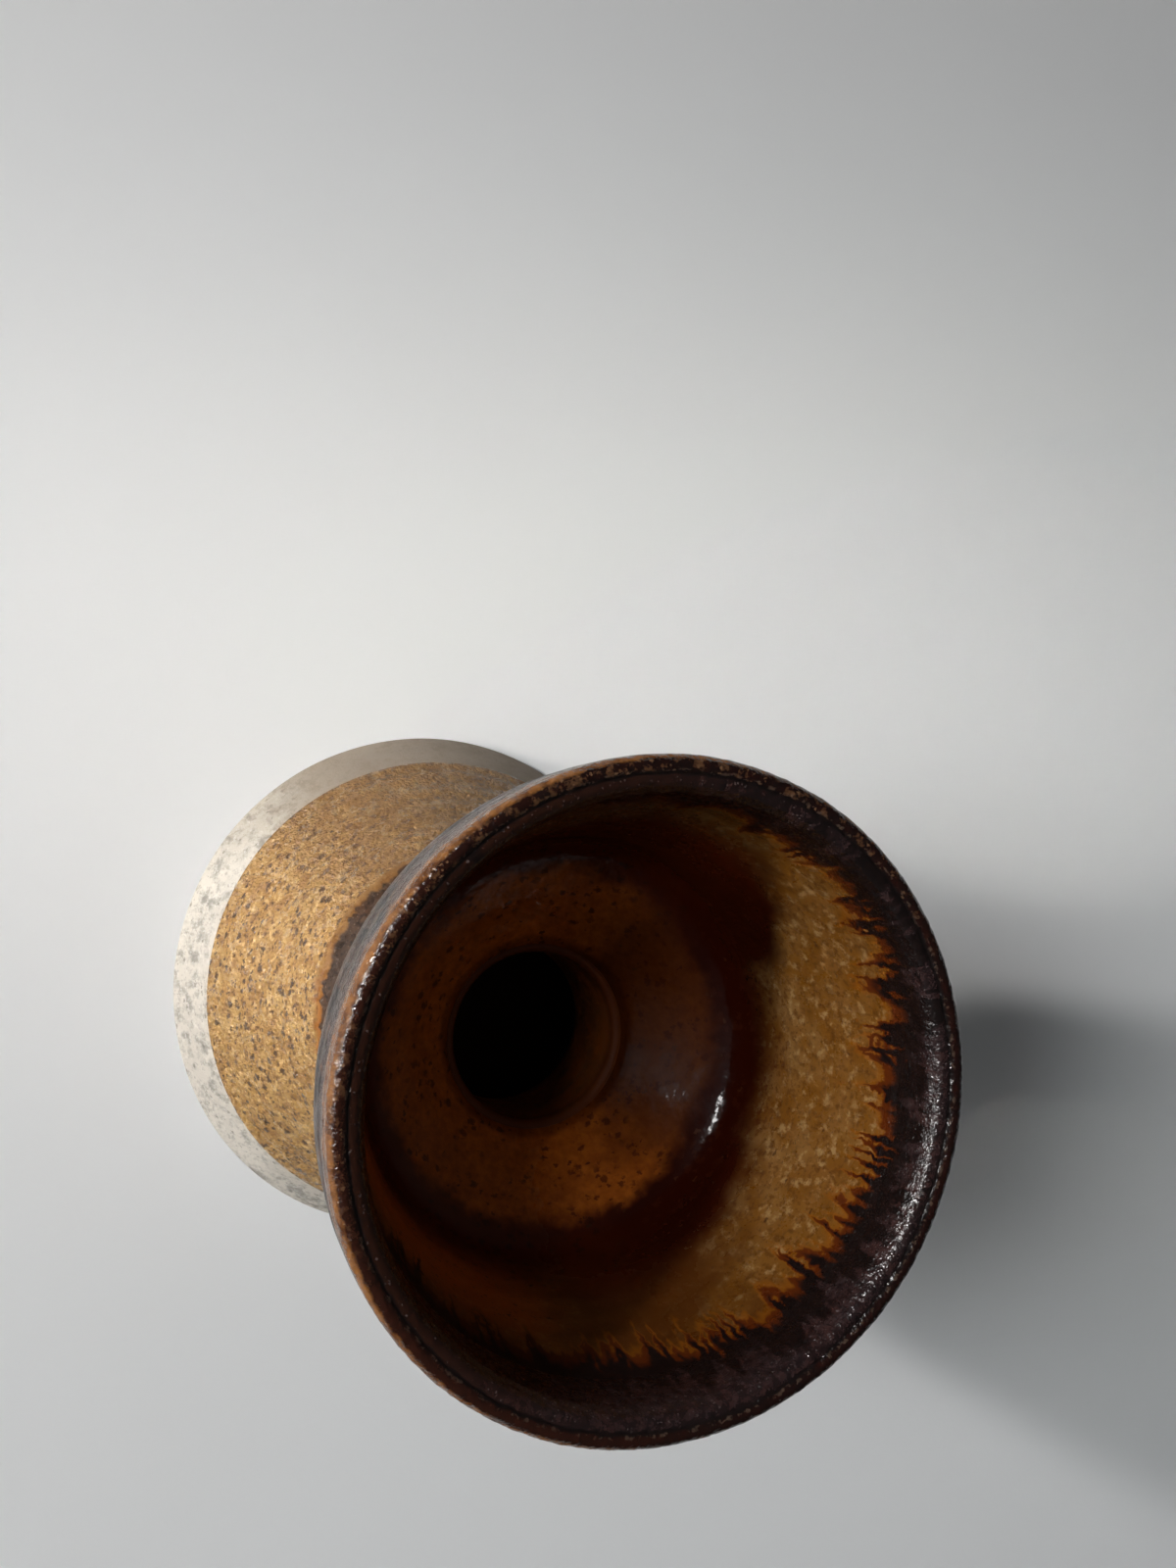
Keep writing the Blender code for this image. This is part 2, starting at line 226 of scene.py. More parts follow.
class VaseColours(bpy.types.PropertyGroup):
    """Colours of the clay and of the glazes."""

    clay: colour("Bare clay", "Pale fired stoneware", 0.60, 0.55, 0.475)
    clay_shade: colour("Clay smudge", "Grey smudges on the bare stoneware", 0.36, 0.325, 0.275)
    tan: colour("Tan glaze", "Glaze on the cone", 0.37, 0.195, 0.055)
    tan_pale: colour("Pale tan", "Thin places of the cone's glaze", 0.45, 0.265, 0.09)
    speck: colour("Specks", "Iron specks in the glaze", 0.070, 0.035, 0.015)
    rust: colour("Rust", "Edge where the dark glaze runs thin", 0.30, 0.095, 0.008)
    black: colour("Dark glaze", "Thick dark glaze", 0.0055, 0.0035, 0.0032)
    purple: colour("Rim glaze", "Satin glaze inside the lip", 0.024, 0.014, 0.014)
    red_brown: colour("Lip glaze", "Glossy glaze on the lip's bead", 0.017, 0.0045, 0.003)
    honey: colour("Honey glaze", "Glaze on the bowl's wall", 0.132, 0.050, 0.006)
    honey_pale: colour("Pale honey", "Cloudy places on the bowl's wall", 0.207, 0.114, 0.037)
    amber: colour("Amber glaze", "Glaze on the bowl's floor", 0.52, 0.130, 0.012)
    pool: colour("Pooled glaze", "Thick glaze in the bowl's corner", 0.020, 0.0025, 0.0006)
    liner: colour("Liner glaze", "Thin glaze down the throat", 0.30, 0.085, 0.012)
    stage: colour("Stage", "Floor that the vase stands on", 0.86, 0.86, 0.85)


def sizes():
    return bpy.context.scene.vase_sizes


def colours():
    return bpy.context.scene.vase_colours


# Outlines of (radius, height) points

def unit(start, end):
    """Direction from one point to another."""
    span = math.dist(start, end)
    return ((end[0] - start[0]) / span, (end[1] - start[1]) / span)


def rounded(corners, arc_step=math.radians(4.0)):
    """Outline through (point, round) corners, with an arc in place of each corner."""
    points = [corners[0][0]]
    for (before, _), (corner, wanted), (after, _) in zip(corners, corners[1:], corners[2:]):
        back = unit(corner, before)
        ahead = unit(corner, after)
        half = 0.5 * math.acos(back[0] * ahead[0] + back[1] * ahead[1])
        room = 0.5 * min(math.dist(corner, before), math.dist(corner, after))
        setback = min(wanted / math.tan(half), room)
        radius = setback * math.tan(half)
        middle = unit((0.0, 0.0), (back[0] + ahead[0], back[1] + ahead[1]))
        reach = radius / math.sin(half)
        centre = (corner[0] + middle[0] * reach, corner[1] + middle[1] * reach)
        ends = [(corner[0] + run[0] * setback, corner[1] + run[1] * setback) for run in (back, ahead)]
        first, last = (math.atan2(end[1] - centre[1], end[0] - centre[0]) for end in ends)
        sweep = math.remainder(last - first, 2.0 * math.pi)
        steps = max(2, math.ceil(abs(sweep) / arc_step))
        for angle in (first + sweep * step / steps for step in range(steps + 1)):
            points.append((centre[0] + radius * math.cos(angle), centre[1] + radius * math.sin(angle)))
    points.append(corners[-1][0])
    return points


def clay_corners():
    """Corners of the clay from the foot, up the outside, over the lip and down to the chamber's floor."""
    s = sizes()
    lip = s.crest_height
    edge = s.mouth_radius
    throat = s.throat_top
    return [
        ((s.foot_ring, 0.0), 0.0),
        ((s.foot_radius, 0.0), 1.6 * MM),
        ((s.band_radius, s.band_height), 60.0 * MM),
        ((s.neck_radius, s.cone_top), 24.0 * MM),
        ((s.neck_radius, s.neck_top), 9.0 * MM),
        ((s.belly_radius, s.belly_height), 14.0 * MM),
        ((s.collar_radius, s.collar_height), 60.0 * MM),
        ((edge, lip - 1.5 * MM), 1.5 * MM),
        ((edge - 1.0 * MM, lip), 0.8 * MM),
        ((edge - 2.4 * MM, lip - 1.0 * MM), 0.45 * MM),
        ((edge - 4.0 * MM, lip - 0.7 * MM), 1.3 * MM),
        ((edge - 5.3 * MM, lip - 3.2 * MM), 2.0 * MM),
        ((s.inner_radius, s.collar_height + 1.3 * MM), 60.0 * MM),
        ((s.corner_radius, s.corner_height), 13.0 * MM),
        ((s.throat_radius + 2.6 * MM, throat + 1.65 * MM), 0.8 * MM),
        ((s.throat_radius + 1.5 * MM, throat + 0.25 * MM), 0.5 * MM),
        ((s.throat_radius + 0.1 * MM, throat + 0.25 * MM), 0.7 * MM),
        ((s.throat_radius, s.throat_bottom), 6.6 * MM),
        ((s.chamber_radius, s.base_floor), 8.0 * MM),
        ((0.0, s.base_floor), 0.0),
    ]


class Outline:
    """Clay outline in small steps, finer at the lip and the throat's edge, with its outward directions."""

    def __init__(self, coarse=0.7 * MM, fine=0.25 * MM):
        raw = np.array(rounded(clay_corners()))
        run = np.concatenate([[0.0], np.cumsum(np.linalg.norm(np.diff(raw, axis=0), axis=1))])
        s = sizes()
        stations = [0.0]
        while stations[-1] < run[-1]:
            radius, height = (np.interp(stations[-1], run, raw[:, axis]) for axis in (0, 1))
            at_lip = height > s.crest_height - 4.5 * MM
            at_throat = radius < s.throat_radius + 4.0 * MM and height > s.throat_top - 2.0 * MM
            stations.append(stations[-1] + (fine if at_lip or at_throat else coarse))
        stations[-1] = run[-1]
        self.points = np.stack([np.interp(stations, run, raw[:, axis]) for axis in (0, 1)], axis=1)
        tangent = np.gradient(self.points, axis=0)
        tangent /= np.linalg.norm(tangent, axis=1)[:, None]
        self.outward = np.stack([tangent[:, 1], -tangent[:, 0]], axis=1)
        self.crest = int(np.argmax(self.points[:, 1]))

    def outside(self, height):
        """Index of the first point at or above a height on the outside."""
        return int(np.argmax(self.points[:self.crest, 1] >= height))

    def inside(self, height):
        """Index of the first point at or below a height on the inside."""
        return self.crest + int(np.argmax(self.points[self.crest:, 1] <= height))

    def within(self, radius):
        """Index of the first point at or within a radius on the inside."""
        return self.crest + int(np.argmax(self.points[self.crest:, 0] <= radius))


def relief_at(points, outward):
    """Depth of the throwing rings, the orange peel and the grit at each point of an outline.

    Depths are millimetres until the end, and each is less or more at the lip, its bead and the foot.
    """
    s = sizes()
    radius, height = points[:, 0], points[:, 1]
    lip = np.clip((height - s.crest_height + 4.0 * MM) / (2.5 * MM), 0.0, 1.0)
    bead = lip * np.clip((radius - s.mouth_radius + 3.4 * MM) / (0.8 * MM), 0.0, 1.0)
    foot = np.clip((GLAZE_LINE - height) / (1.0 * MM), 0.0, 1.0)
    standing = np.clip(height / (2.0 * MM), 0.0, 1.0)
    inner = np.where(outward[:, 0] < -0.05, 1.0, 0.0)
    rings = (0.20 - 0.14 * inner - 0.15 * foot) * (1.0 - lip) * standing
    peel = (0.05 + 0.05 * bead) * (1.0 - foot) * standing
    grit = (0.20 * bead + 0.06 * lip + 0.03 * foot) * standing
    return np.stack([rings, peel, grit], axis=1) * MM


# Node trees

class Tree:
    """Adds and links the nodes of one tree."""

    def __init__(self, tree):
        self.tree = tree

    def feed(self, socket, value):
        if isinstance(value, bpy.types.NodeSocket):
            self.tree.links.new(value, socket)
        else:
            socket.default_value = value

    def add(self, kind, values=None, **settings):
        node = self.tree.nodes.new(kind)
        for name, value in settings.items():
            setattr(node, name, value)
        for name, value in (values or {}).items():
            self.feed(node.inputs[name], value)
        return node

    def group(self, tree, **values):
        node = self.tree.nodes.new("ShaderNodeGroup")
        node.node_tree = tree
        for name, value in values.items():
            self.feed(node.inputs[name.title()], value)
        return node.outputs[0]

    def math(self, operation, first, second=0.0, third=0.0):
        node = self.add("ShaderNodeMath", operation=operation)
        for socket, value in zip(node.inputs, (first, second, third)):
            self.feed(socket, value)
        return node.outputs[0]

    def product(self, first, second):
        return self.math("MULTIPLY", first, second)

    def linear(self, value, slope, start):
        """Value times a slope, counted from a start."""
        return self.math("MULTIPLY_ADD", value, slope, start)

    def total(self, first, *others):
        for other in others:
            first = self.math("ADD", first, other)
        return first

    def vector(self, operation, first, second=(0.0, 0.0, 0.0)):
        node = self.add("ShaderNodeVectorMath", operation=operation)
        self.feed(node.inputs[0], first)
        self.feed(node.inputs[1], second)
        return node.outputs["Value" if operation in ("LENGTH", "DOT_PRODUCT") else "Vector"]

    def times(self, vector, factor):
        node = self.add("ShaderNodeVectorMath", operation="SCALE")
        self.feed(node.inputs[0], vector)
        self.feed(node.inputs["Scale"], factor)
        return node.outputs[0]

    def split(self, vector):
        return self.add("ShaderNodeSeparateXYZ", {"Vector": vector}).outputs

    def join(self, x, y, z):
        return self.add("ShaderNodeCombineXYZ", {"X": x, "Y": y, "Z": z}).outputs[0]

    def rise(self, value, low, high):
        """0 at low, 1 at high and smooth between."""
        node = self.add(
            "ShaderNodeMapRange", {"Value": value, "From Min": low, "From Max": high},
            interpolation_type="SMOOTHSTEP")
        return node.outputs[0]

    def fall(self, value, low, high):
        """1 at low, 0 at high and smooth between."""
        return self.math("SUBTRACT", 1.0, self.rise(value, low, high))

    def noise(self, vector, size, detail=2.0, roughness=0.5):
        """Noise from 0 to 1 with features of a real size."""
        scale = self.math("DIVIDE", 1.0, size) if isinstance(size, bpy.types.NodeSocket) else 1.0 / size
        node = self.add(
            "ShaderNodeTexNoise",
            {"Vector": vector, "Scale": scale, "Detail": detail, "Roughness": roughness})
        return node.outputs[0]

    def swing(self, noise, reach):
        """Noise turned into a length that swings both ways from zero."""
        return self.product(self.math("SUBTRACT", noise, 0.5), self.product(reach, 2.0))

    def mix(self, share, first, second):
        """Colour between two colours."""
        node = self.add("ShaderNodeMix", data_type="RGBA")
        self.feed(node.inputs[0], share)
        for socket, value in zip((node.inputs[6], node.inputs[7]), (first, second)):
            self.feed(socket, value if isinstance(value, bpy.types.NodeSocket) else (*value[:3], 1.0))
        return node.outputs[2]


def turned_tree():
    """Geometry nodes that turn a profile about the Z axis and give it the marks of throwing."""
    tree = bpy.data.node_groups.new("Turned piece", "GeometryNodeTree")
    for name, kind in (
            ("Profile", "Geometry"), ("Segments", "Int"), ("Ring Pitch", "Float"), ("Wobble", "Float"),
            ("Peel Size", "Float"), ("Grit Size", "Float"), ("Material", "Material")):
        tree.interface.new_socket(name, in_out="INPUT", socket_type="NodeSocket" + kind)
    tree.interface.new_socket("Piece", in_out="OUTPUT", socket_type="NodeSocketGeometry")
    t = Tree(tree)
    given = t.add("NodeGroupInput").outputs
    profile = given["Profile"]

    counted = t.add("GeometryNodeAttributeDomainSize", {"Geometry": profile}, component="MESH")
    rows = counted.outputs["Point Count"]
    columns = t.math("ADD", given["Segments"], 1.0)
    grid = t.add("GeometryNodeMeshGrid", {"Vertices X": rows, "Vertices Y": columns}).outputs["Mesh"]
    index = t.add("GeometryNodeInputIndex").outputs[0]
    row = t.math("FLOOR", t.math("DIVIDE", index, columns))
    column = t.math("SUBTRACT", index, t.product(row, columns))
    turn = t.product(t.math("DIVIDE", column, given["Segments"]), 2.0 * math.pi)

    def sampled(field):
        node = t.add(
            "GeometryNodeSampleIndex", {"Geometry": profile, "Value": field, "Index": row},
            data_type="FLOAT_VECTOR", domain="POINT")
        return t.split(node.outputs[0])

    def attribute(name):
        return t.add("GeometryNodeInputNamedAttribute", {"Name": name}, data_type="FLOAT_VECTOR").outputs[0]

    place = sampled(t.add("GeometryNodeInputPosition").outputs[0])
    outward = sampled(attribute("outward"))
    relief = sampled(attribute("relief"))
    side = t.join(t.math("COSINE", turn), t.math("SINE", turn), 0.0)
    spot = t.vector("ADD", t.times(side, place["X"]), t.join(0.0, 0.0, place["Z"]))
    away = t.vector("ADD", t.times(side, outward["X"]), t.join(0.0, 0.0, outward["Z"]))

    drift = t.product(t.noise(spot, 40.0 * MM, 1.0), 9.0)
    climb = t.product(t.math("DIVIDE", place["Z"], given["Ring Pitch"]), 2.0 * math.pi)
    wave = t.math("SINE", t.total(climb, turn, drift))
    lift = t.total(
        t.product(wave, relief["X"]),
        t.swing(t.noise(spot, given["Peel Size"], 2.0), relief["Y"]),
        t.swing(t.noise(spot, given["Grit Size"], 3.0, 0.65), relief["Z"]))
    off_axis = t.rise(place["X"], 0.0, 10.0 * MM)
    wander = t.product(t.swing(t.noise(spot, 55.0 * MM, 1.0), given["Wobble"]), off_axis)
    moved = t.vector("ADD", t.vector("ADD", spot, t.times(away, lift)), t.times(side, wander))

    shape = t.add("GeometryNodeSetPosition", {"Geometry": grid, "Position": moved}).outputs[0]
    shape = t.add("GeometryNodeMergeByDistance", {"Geometry": shape, "Distance": WELD}).outputs[0]
    shape = t.add("GeometryNodeSetShadeSmooth", {"Geometry": shape}).outputs[0]
    shape = t.add("GeometryNodeRealizeInstances", {"Geometry": shape}).outputs[0]
    shape = t.add("GeometryNodeSetMaterial", {"Geometry": shape, "Material": given["Material"]}).outputs[0]
    t.add("NodeGroupOutput", {"Piece": shape})
    return tree


def signed_volume(mesh):
    """Volume inside a mesh, negative where its faces point inwards."""
    mesh.calc_loop_triangles()
    corners = np.zeros(len(mesh.vertices) * 3)
    mesh.vertices.foreach_get("co", corners)
    order = np.zeros(len(mesh.loop_triangles) * 3, np.int32)
    mesh.loop_triangles.foreach_get("vertices", order)
    a, b, c = corners.reshape(-1, 3)[order].reshape(-1, 3, 3).transpose(1, 0, 2)
    return float(np.einsum("ij,ij->", a, np.cross(b, c)) / 6.0)


def turned_piece(name, stretches, material, segments=None):
    """Object turned from (points, outward, relief) stretches by the geometry nodes, as a plain mesh."""
    profile, outward, relief = (np.concatenate([stretch[part] for stretch in stretches]) for part in range(3))
    tree = bpy.data.node_groups.get("Turned piece") or turned_tree()
    mesh = bpy.data.meshes.new(name + "_profile")
    edges = [(index, index + 1) for index in range(len(profile) - 1)]
    mesh.from_pydata([(radius, 0.0, height) for radius, height in profile], edges, [])
    turned_out = np.stack([outward[:, 0], np.zeros(len(outward)), outward[:, 1]], axis=1)
    for label, values in (("outward", turned_out), ("relief", relief)):
        layer = mesh.attributes.new(label, "FLOAT_VECTOR", "POINT")
        layer.data.foreach_set("vector", np.ascontiguousarray(values, np.float32).ravel())
    draft = bpy.data.objects.new(name + "_profile", mesh)
    bpy.context.scene.collection.objects.link(draft)
    modifier = draft.modifiers.new("Turned piece", "NODES")
    modifier.node_group = tree
    s = sizes()
    wanted = {
        "Segments": segments or s.segments, "Ring Pitch": s.ring_pitch, "Wobble": s.wobble,
        "Peel Size": PEEL_SIZE, "Grit Size": GRIT_SIZE, "Material": material}
    for item in tree.interface.items_tree:
        if item.in_out == "INPUT" and item.name in wanted:
            modifier[item.identifier] = wanted[item.name]
    depsgraph = bpy.context.evaluated_depsgraph_get()
    result = bpy.data.meshes.new_from_object(draft.evaluated_get(depsgraph), depsgraph=depsgraph)
    bpy.data.objects.remove(draft)
    if signed_volume(result) < 0.0:
        result.flip_normals()
    result.name = name
    result.set_sharp_from_angle(angle=SHARP_EDGE)
    piece = bpy.data.objects.new(name, result)
    bpy.context.scene.collection.objects.link(piece)
    return piece


def plain(points):
    """Stretch of a profile without rings, peel or grit, which only wanders with the rest."""
    points = np.asarray(points, float)
    return points, np.zeros((len(points), 2)), np.zeros((len(points), 3))


def coat(name, start, end, thickness, material, segments=None):
    """Coat of glaze over a stretch of the clay outline, closed at its back by a coarser line."""
    line = Outline()
    points = line.points[start:end + 1]
    outward = line.outward[start:end + 1]
    run = np.concatenate([[0.0], np.cumsum(np.linalg.norm(np.diff(points, axis=0), axis=1))])
    front = points + outward * thickness(run)[:, None]
    keep = sorted({*range(0, len(points), 10), len(points) - 1})
    back = plain((points + outward * sizes().glaze_back)[keep][::-1])
    face = (front, outward, relief_at(points, outward))
    if points[-1, 0] == 0.0:
        stretches = [back, face]
    else:
        stretches = [face, back, tuple(part[:1] for part in face)]
    return turned_piece(name, stretches, material, segments)


# Shader groups shared by the glazes

def shader_group(name, inputs, output):
    """New shader group with its sockets, and the means to fill it."""
    tree = bpy.data.node_groups.new(name, "ShaderNodeTree")
    for label, kind in inputs.items():
        tree.interface.new_socket(label, in_out="INPUT", socket_type="NodeSocket" + kind)
    tree.interface.new_socket(output, in_out="OUTPUT", socket_type="NodeSocketFloat")
    t = Tree(tree)
    return t, t.add("NodeGroupInput").outputs


def specks_group():
    """Iron specks: one in some of the cells of a loose grid, each of its own size."""
    t, given = shader_group(
        "Iron specks", {"Position": "Vector", "Spacing": "Float", "Share": "Float", "Size": "Float"}, "Mask")
    scale = t.math("DIVIDE", 1.0, given["Spacing"])
    flat = t.vector("MULTIPLY", given["Position"], (1.0, 1.0, 1.5))
    ragged = t.add("ShaderNodeTexNoise", {"Vector": flat, "Detail": 2.0})
    t.feed(ragged.inputs["Scale"], t.product(scale, 2.4))
    shake = t.vector("SUBTRACT", ragged.outputs["Color"], (0.5, 0.5, 0.5))
    shaken = t.vector("ADD", flat, t.times(shake, t.product(given["Spacing"], 0.9)))
    cells = t.add("ShaderNodeTexVoronoi", {"Vector": shaken, "Scale": scale})
    chance = t.add("ShaderNodeSeparateColor", {"Color": cells.outputs["Color"]}).outputs
    radius = t.product(given["Size"], t.linear(chance[1], 0.75, 0.25))
    inside = t.math("SUBTRACT", 1.0, t.math("DIVIDE", cells.outputs["Distance"], radius))
    mask = t.product(t.rise(inside, 0.0, 0.45), t.math("LESS_THAN", chance[0], given["Share"]))
    t.add("NodeGroupOutput", {"Mask": mask})
    return t.tree


def drips_group():
    """Height above the ragged lower edge of a glaze that has run down in narrow drips."""
    t, given = shader_group(
        "Glaze drips", {"Position": "Vector", "Line": "Float", "Reach": "Float", "Spacing": "Float"}, "Over")
    place = t.split(given["Position"])
    around = t.times(t.vector("NORMALIZE", t.join(place["X"], place["Y"], 0.0)), 55.0 * MM)
    shake = t.add(
        "ShaderNodeTexNoise", {"Vector": given["Position"], "Scale": 1.0 / (2.6 * MM), "Detail": 2.0})
    waver = t.times(t.vector("SUBTRACT", shake.outputs["Color"], (0.5, 0.5, 0.5)), 2.4 * MM)
    down = t.vector("ADD", around, t.join(0.0, 0.0, t.product(place["Z"], 0.12)))
    streaks = t.add(
        "ShaderNodeTexVoronoi",
        {"Vector": t.vector("ADD", down, waver), "Scale": t.math("DIVIDE", 1.0, given["Spacing"])},
        feature="DISTANCE_TO_EDGE")
    cusp = t.fall(streaks.outputs["Distance"], 0.02, 0.34)
    size = t.linear(t.rise(t.noise(around, 4.5 * MM, 1.0), 0.34, 0.66), 0.9, 0.1)
    drip = t.product(t.product(cusp, size), given["Reach"])
    over = t.total(
        t.math("SUBTRACT", place["Z"], given["Line"]), drip,
        t.swing(t.noise(around, 16.0 * MM, 1.0), t.product(given["Reach"], 0.55)),
        t.swing(t.noise(down, 1.3 * MM, 3.0, 0.6), t.product(given["Reach"], 0.22)))
    t.add("NodeGroupOutput", {"Over": over})
    return t.tree


def mottle_group():
    """Cloudy patches from 0 to 1, with a finer cloud inside them."""
    t, given = shader_group("Cloudy mottle", {"Position": "Vector", "Size": "Float"}, "Cloud")
    cloud = t.noise(given["Position"], given["Size"], 5.0, 0.62)
    t.add("NodeGroupOutput", {"Cloud": t.rise(cloud, 0.34, 0.68)})
    return t.tree


def peel_group():
    """Height of the glaze's orange peel."""
    t, given = shader_group("Orange peel", {"Position": "Vector", "Size": "Float"}, "Height")
    swell = t.noise(given["Position"], given["Size"], 2.0, 0.45)
    fine = t.noise(given["Position"], t.product(given["Size"], 0.35), 1.0)
    t.add("NodeGroupOutput", {"Height": t.linear(fine, 0.25, swell)})
    return t.tree


class Glaze:
    """Material under way: its nodes, the place on the vase, and its Principled shader."""

    def __init__(self, name):
        self.material = bpy.data.materials.new(name)
        self.material.use_nodes = True
        self.t = Tree(self.material.node_tree)
        self.shader = self.material.node_tree.nodes["Principled BSDF"]
        self.position = self.t.add("ShaderNodeTexCoord").outputs["Object"]
        place = self.t.split(self.position)
        level = self.t.join(place["X"], place["Y"], 0.0)
        self.radius = self.t.vector("LENGTH", level)
        self.around = self.t.vector("NORMALIZE", level)
        self.height = place["Z"]

    def shared(self, name, make, **values):
        tree = bpy.data.node_groups.get(name) or make()
        return self.t.group(tree, position=self.position, **values)

    def specks(self, spacing, share, size):
        return self.shared("Iron specks", specks_group, spacing=spacing, share=share, size=size)

    def drips(self, line, reach, spacing=3.2 * MM):
        return self.shared("Glaze drips", drips_group, line=line, reach=reach, spacing=spacing)

    def cloud(self, size):
        return self.shared("Cloudy mottle", mottle_group, size=size)

    def peel(self, size):
        return self.shared("Orange peel", peel_group, size=size)

    def side(self, azimuth, low, high):
        """Mask of one side of the vase, from the cosines of its edge and of its full strength."""
        t = self.t
        angle = math.radians(azimuth)
        facing = t.vector("DOT_PRODUCT", self.around, (math.cos(angle), math.sin(angle), 0.0))
        return t.rise(t.math("ADD", facing, t.swing(t.noise(self.position, 18.0 * MM, 2.0), 0.2)), low, high)

    def patches(self, size, detail, roughness, low, high, place=None):
        """Mask of the places where noise of a real size rises from low to high."""
        return self.t.rise(self.t.noise(place or self.position, size, detail, roughness), low, high)

    def over(self, under, on_top, share, most=1.0):
        """Lays a colour over another by a mask and a strength."""
        return self.t.mix(self.t.product(share, most), under, on_top)

    def finish(self, base, roughness, height, distance, specular=0.5):
        self.t.feed(self.shader.inputs["Base Color"], base)
        self.t.feed(self.shader.inputs["Roughness"], roughness)
        self.shader.inputs["Specular IOR Level"].default_value = specular
        bump = self.t.add("ShaderNodeBump", {"Height": height, "Distance": distance})
        self.t.feed(self.shader.inputs["Normal"], bump.outputs[0])
        return self.material


def stoneware():
    """Bare pale clay of the foot, with grey smudges, specks, and one side browner from the kiln and darkened
    further with painted shade.
    """
    g = Glaze("bare_stoneware")
    c = colours()
    t = g.t
    base = g.over(c.clay, c.clay_shade, g.patches(2.4 * MM, 5.0, 0.7, 0.47, 0.66), 0.9)
    base = g.over(base, c.clay_shade, g.cloud(12.0 * MM), 0.3)
    smudge = g.patches(4.5 * MM, 4.0, 0.65, 0.50, 0.66)
    base = g.over(base, CLAY_SOOT, smudge, 0.75)
    base = g.over(base, CLAY_CHALK, g.patches(1.3 * MM, 3.0, 0.6, 0.55, 0.70), 0.6)
    base = g.over(base, CLAY_SPECK, g.specks(1.9 * MM, 0.3, 0.45), 0.65)
    base = g.over(base, CLAY_FINE_SPECK, g.specks(0.8 * MM, 0.25, 0.45), 0.5)
    # One side is browner from the kiln and darkened further as painted shade.
    base = g.over(base, CLAY_TOAST_AND_SHADE, g.side(TOAST_AND_SHADE_SIDE, 0.40, 0.92), 0.85)
    base = g.over(base, CLAY_UNDER_EDGE, t.fall(g.height, 0.4 * MM, 1.5 * MM), 0.8)
    lines = t.noise(t.join(0.0, 0.0, g.height), 0.9 * MM, 2.0)
    height = t.linear(lines, 0.5, t.noise(g.position, 0.5 * MM, 3.0, 0.65))
    return g.finish(base, 0.82, height, 0.12 * MM, 0.3)


def plain_clay():
    """Clay that the glaze hides."""
    g = Glaze("inner_stoneware")
    c = colours()
    base = g.over(c.clay_shade, c.clay, g.cloud(6.0 * MM))
    return g.finish(base, 0.85, g.t.noise(g.position, 0.5 * MM, 3.0), 0.08 * MM)


def speckled_colour(g):
    """Tan glaze mottled with brown and thick with iron specks, and the height above its dark edge."""
    c = colours()
    t = g.t
    flat = t.vector("MULTIPLY", g.position, (1.0, 1.0, 1.7))
    base = g.over(c.tan, c.tan_pale, g.cloud(6.0 * MM))
    base = g.over(base, TAN_BROWN, g.patches(3.4 * MM, 5.0, 0.68, 0.46, 0.60, flat), 0.75)
    base = g.over(base, TAN_GOLD, g.patches(2.2 * MM, 4.0, 0.65, 0.54, 0.66, flat), 0.7)
    base = g.over(base, TAN_UMBER, g.patches(1.7 * MM, 4.0, 0.66, 0.57, 0.65, flat), 0.85)
    base = g.over(base, c.speck, g.specks(1.3 * MM, 0.6, 0.5), 0.8)
    base = g.over(base, c.speck, g.specks(2.4 * MM, 0.8, 0.55), 0.95)
    # The same side of the cone is browner from the kiln and darkened further as painted shade.
    base = g.over(base, TAN_TOAST_AND_SHADE, g.side(TOAST_AND_SHADE_SIDE, 0.30, 0.95), 0.65)
    fringe = g.drips(DARK_LINE + EDGE_LIFT, 1.5 * MM, 5.0 * MM)
    base = g.over(base, TAN_FRINGE, t.rise(fringe, -3.5 * MM, 0.0), 0.75)
    glow = t.product(t.rise(fringe, -2.5 * MM, 0.2 * MM), g.side(RUSTY_SIDE, 0.2, 0.9))
    base = g.over(base, c.rust, glow, 0.9)
    roll = t.fall(g.height, GLAZE_LINE + 0.3 * MM, GLAZE_LINE + 1.2 * MM)
    return g.over(base, TAN_ROLL, roll, 0.8), fringe


def speckled_glaze():
    """Tan glaze of the cone, rolled at its lower edge."""
    g = Glaze("speckled_glaze")
    t = g.t
    base, _ = speckled_colour(g)
    rough = t.linear(g.cloud(3.0 * MM), 0.18, 0.14)
    grain = t.noise(g.position, 0.8 * MM, 2.0, 0.5)
    return g.finish(base, rough, t.linear(grain, 0.7, g.peel(1.9 * MM)), 0.8 * MM)


def dark_glaze():
    """Black-brown glaze of the waist and the bowl's outside, rusty where it runs thin."""
    g = Glaze("dark_glaze")
    c = colours()
    t = g.t
    streak = t.noise(t.vector("MULTIPLY", g.position, (1.0, 1.0, 0.22)), 4.5 * MM, 4.0, 0.6)
    dark = g.over(c.black, DARK_STREAK, t.rise(streak, 0.40, 0.70))
    dark = g.over(dark, DARK_CLOUD, g.cloud(14.0 * MM), 0.35)
    waist = t.fall(g.height, DARK_LINE + 4.0 * MM, DARK_LINE + 22.0 * MM)
    dark = g.over(dark, DARK_WAIST, waist, 0.6)
    dark = g.over(dark, DARK_SPECK, g.specks(0.8 * MM, 0.5, 0.46), 0.5)
    pits = g.patches(1.4 * MM, 3.0, 0.6, 0.5, 0.64)
    dark = g.over(dark, DARK_PIT, pits, 0.8)
    base, fringe = speckled_colour(g)
    base = g.over(base, dark, t.rise(fringe, -0.2 * MM, 0.7 * MM))
    rough = t.linear(g.cloud(6.0 * MM), 0.16, 0.20)
    grain = t.noise(g.position, 0.7 * MM, 2.0, 0.5)
    return g.finish(base, rough, t.linear(grain, 0.35, g.peel(2.6 * MM)), 0.3 * MM, 0.2)


